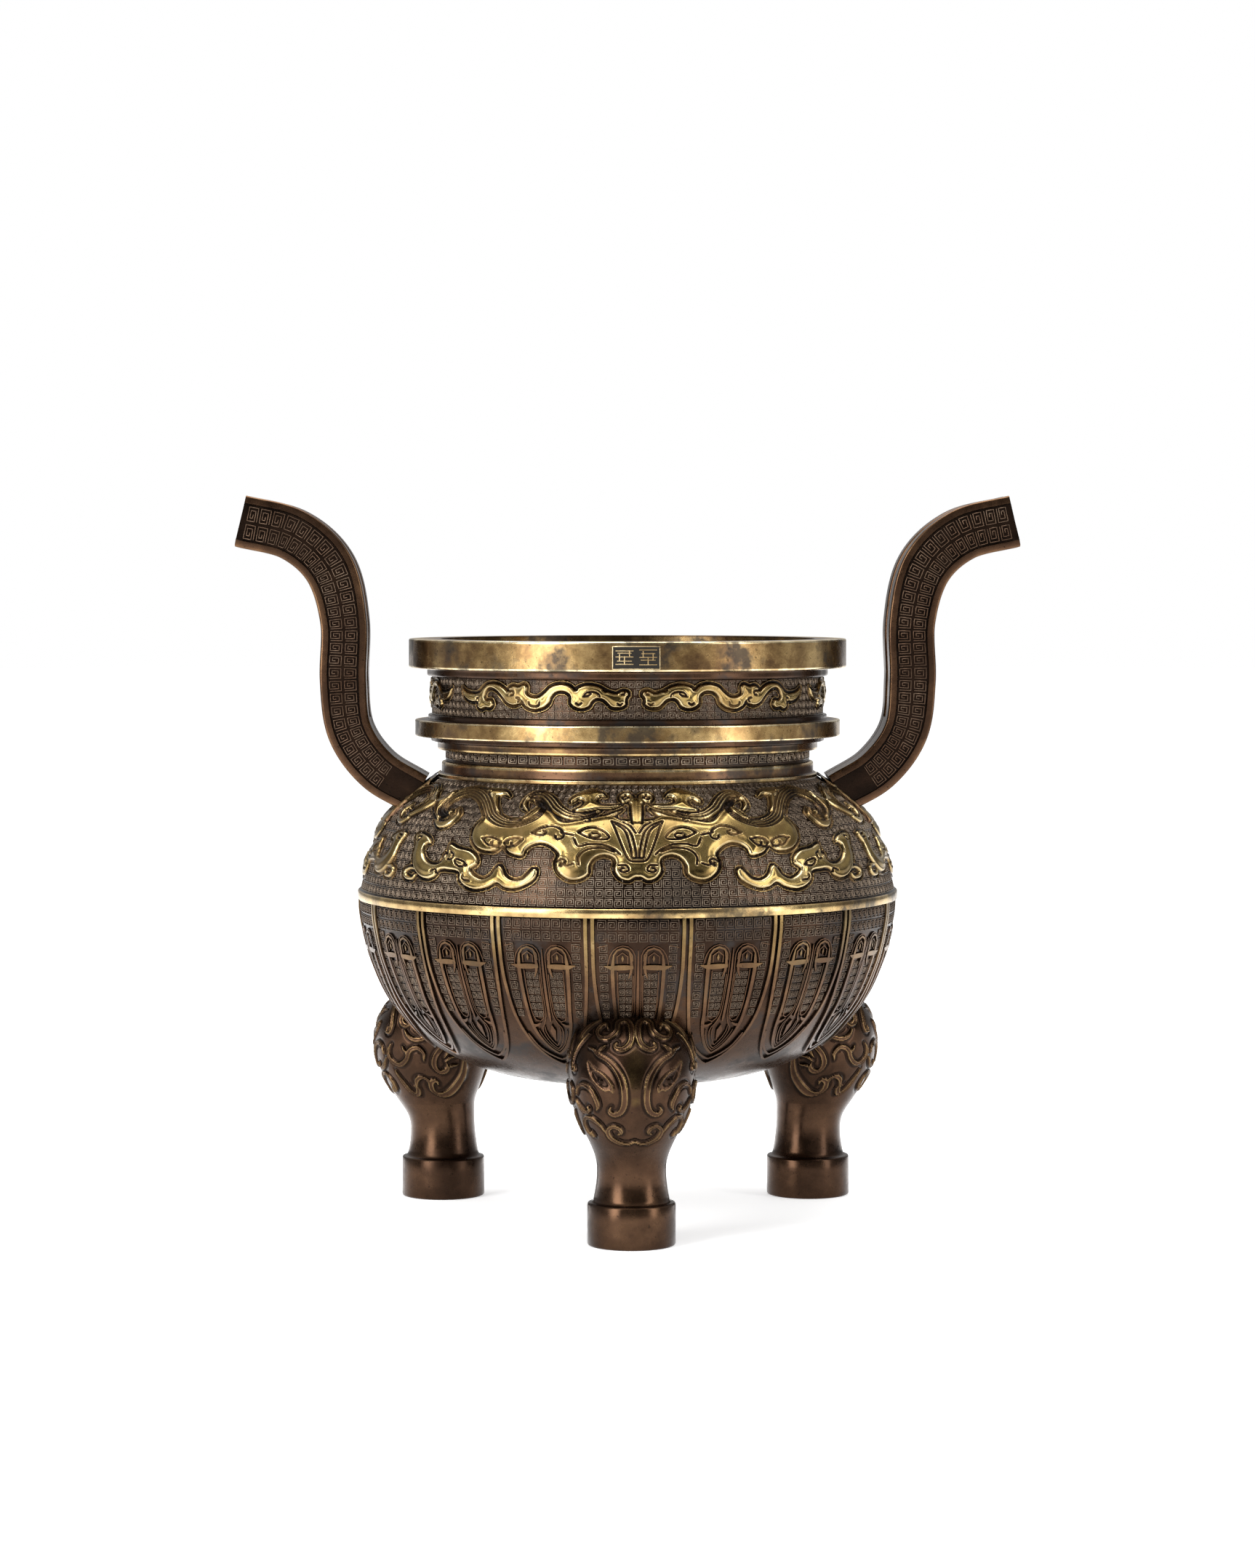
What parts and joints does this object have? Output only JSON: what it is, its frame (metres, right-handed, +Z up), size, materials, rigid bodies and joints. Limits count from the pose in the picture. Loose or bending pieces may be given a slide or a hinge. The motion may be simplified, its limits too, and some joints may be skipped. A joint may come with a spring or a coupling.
{
  "type": "tripod censer",
  "caption": "Round footed bronze censer with an open mouth, relief masks, hanging lappets and upright loop handles, for burning incense.",
  "frame": {"origin": "middle of the object's box, on the ground that the feet stand on", "axes": "+Z up, +X towards the right handle, -Y towards the front leg and the cartouche"},
  "size_m": [0.4488, 0.3242, 0.414],
  "materials": {
    "patinated_bronze": "dark brown patina with worn gilt relief",
    "handle_bronze": "red brown patina"
  },
  "bodies": {
    "root": {"vessel": "patinated_bronze", "handle_left": "handle_bronze", "handle_right": "handle_bronze"}
  },
  "joints": []
}
